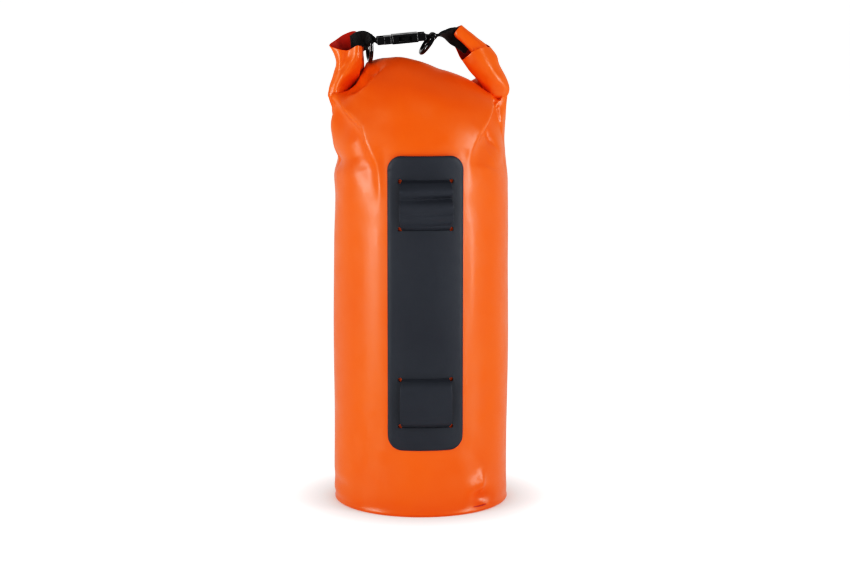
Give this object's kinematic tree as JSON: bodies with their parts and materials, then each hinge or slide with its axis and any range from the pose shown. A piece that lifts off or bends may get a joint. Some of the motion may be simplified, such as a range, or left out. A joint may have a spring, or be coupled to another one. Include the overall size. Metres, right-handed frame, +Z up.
{
  "type": "roll-top dry bag",
  "caption": "Upright cylindrical roll-top dry bag, mouth rolled down and clipped into a carrying handle, with a front strap panel and small hanging D-rings.",
  "frame": {"origin": "centre of the underside of the base disc, on the surface that the bag stands on", "axes": "+Z up along the tube; the strap panel faces -Y; +X to the right seen from the panel's side"},
  "size_m": [0.1831, 0.1961, 0.492],
  "materials": {
    "orange_skin": "satin coated fabric",
    "panel_black": "matt coated panel and strap",
    "webbing_black": "matt woven webbing",
    "thread_black": "satin thread",
    "ring_black": "gloss moulded",
    "buckle_black": "satin moulded"
  },
  "bodies": {
    "bag": {"body_tube": "orange_skin", "base_disc": "orange_skin", "back_seam_tape": "orange_skin", "mount_panel": "panel_black", "upper_loop": "panel_black", "lower_loop": "panel_black", "strap_behind_panel": "panel_black", "strap_lower_tail": "panel_black", "strap_upper_tail": "panel_black", "roll_middle": "orange_skin", "mouth_strip": "webbing_black"},
    "left_arm": {"left_roll_end": "orange_skin", "left_strap": "webbing_black", "left_bar_tacks": "thread_black"},
    "right_arm": {"right_roll_end": "orange_skin", "right_strap": "webbing_black", "right_bar_tacks": "thread_black"},
    "male_half": {"buckle_male": "buckle_black"},
    "female_half": {"buckle_female": "buckle_black"},
    "front_latch": {"front_prong": "buckle_black"},
    "rear_latch": {"rear_prong": "buckle_black"},
    "left_ring": {"left_d_ring": "ring_black"},
    "right_ring": {"right_d_ring": "ring_black"}
  },
  "joints": [
    {"name": "left_arm_open", "type": "hinge", "parent": "bag", "child": "left_arm", "pos_m": [-0.09, 0, 0.424], "axis": [0, -1, 0], "range_deg": [0, 70]},
    {"name": "right_arm_open", "type": "hinge", "parent": "bag", "child": "right_arm", "pos_m": [0.088, 0, 0.424], "axis": [0, 1, 0], "range_deg": [0, 43]},
    {"name": "male_pivot", "type": "hinge", "parent": "left_arm", "child": "male_half", "pos_m": [-0.0436, 0, 0.4776], "axis": [0, 1, 0], "range_deg": [0, 70]},
    {"name": "female_pivot", "type": "hinge", "parent": "right_arm", "child": "female_half", "pos_m": [0.0022, 0, 0.48193], "axis": [0, -1, 0], "range_deg": [0, 43]},
    {"name": "left_ring_swing", "type": "hinge", "parent": "left_arm", "child": "left_ring", "pos_m": [-0.0525, 0, 0.4768], "axis": [0, -1, 0], "range_deg": [-10, 25]},
    {"name": "right_ring_swing", "type": "hinge", "parent": "right_arm", "child": "right_ring", "pos_m": [0.0122, 0, 0.4824], "axis": [0, -1, 0], "range_deg": [-5, 75]},
    {"name": "prong_squeeze", "type": "hinge", "parent": "male_half", "child": "front_latch", "pos_m": [-0.02867, -0.0084, 0.47901], "axis": [-0.0941, 0, 0.9956], "range_deg": [0, 7], "stiffness_Nm_per_rad": 0.05},
    {"name": "rear_prong_squeeze", "type": "hinge", "parent": "male_half", "child": "rear_latch", "pos_m": [-0.02867, 0.0084, 0.47901], "axis": [-0.0941, 0, 0.9956], "range_deg": [-7, 0], "stiffness_Nm_per_rad": 0.05}
  ],
  "couplings": [
    {"joint": "right_arm_open", "follows": "left_arm_open", "ratio": 0.612},
    {"joint": "male_pivot", "follows": "left_arm_open", "ratio": 1},
    {"joint": "female_pivot", "follows": "left_arm_open", "ratio": 0.612},
    {"joint": "rear_prong_squeeze", "follows": "prong_squeeze", "ratio": -1}
  ]
}
